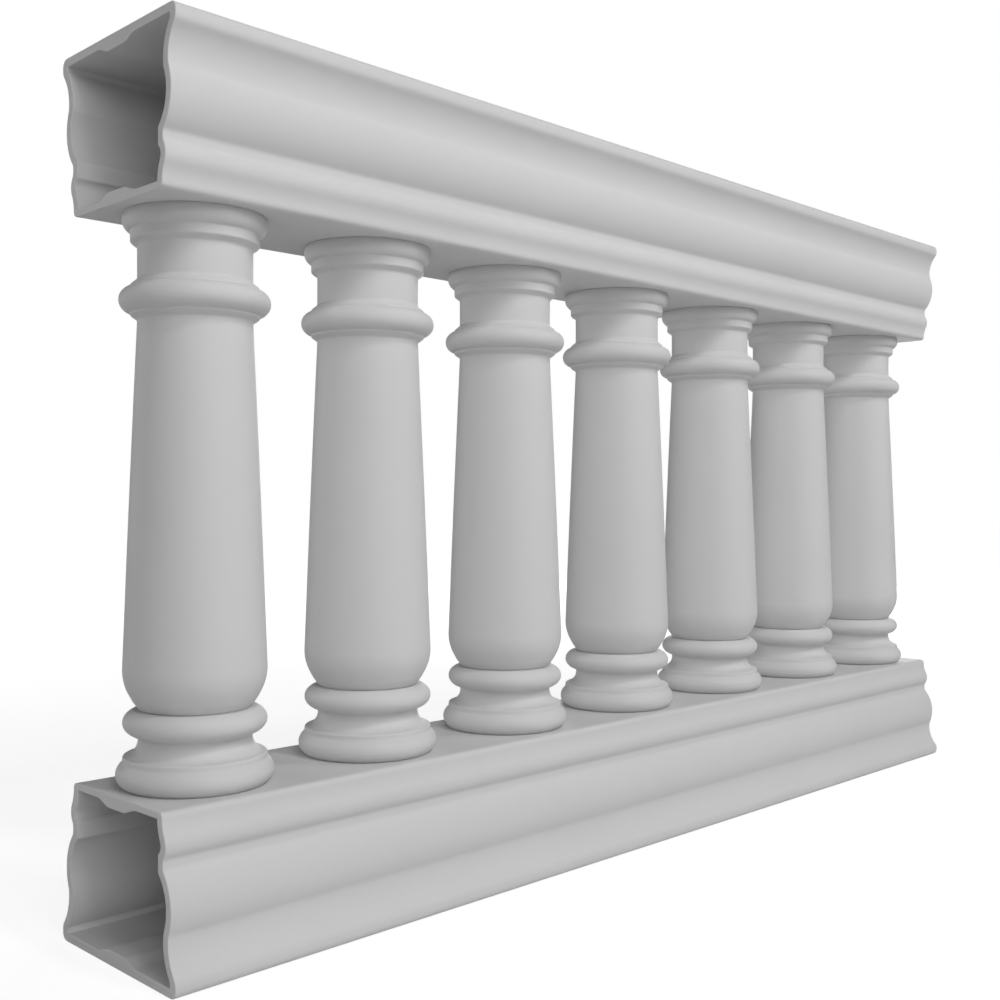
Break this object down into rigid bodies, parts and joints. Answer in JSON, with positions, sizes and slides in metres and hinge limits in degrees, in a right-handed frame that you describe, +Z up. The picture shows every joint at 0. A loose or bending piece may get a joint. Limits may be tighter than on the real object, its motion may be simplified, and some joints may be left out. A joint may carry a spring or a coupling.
{
  "type": "fiberglass balustrade",
  "caption": "Straight section of hollow moulded balustrade: a top and a bottom rail, cut square, with a row of turned balusters between them.",
  "frame": {"origin": "middle of the underside of the bottom rail", "axes": "+X along the rails, +Y through the depth towards the back, +Z up"},
  "size_m": [1.536, 0.2246, 0.9144],
  "materials": {
    "rail_gelcoat": "matt pale grey gel coat, ready to paint, on a glass-fibre laminate",
    "baluster_gelcoat": "matt pale grey gel coat, ready to paint, on a glass-fibre laminate"
  },
  "bodies": {
    "root": {"bottom_rail": "rail_gelcoat", "top_rail": "rail_gelcoat", "baluster_1": "baluster_gelcoat", "baluster_2": "baluster_gelcoat", "baluster_3": "baluster_gelcoat", "baluster_4": "baluster_gelcoat", "baluster_5": "baluster_gelcoat", "baluster_6": "baluster_gelcoat", "baluster_7": "baluster_gelcoat"}
  },
  "joints": []
}
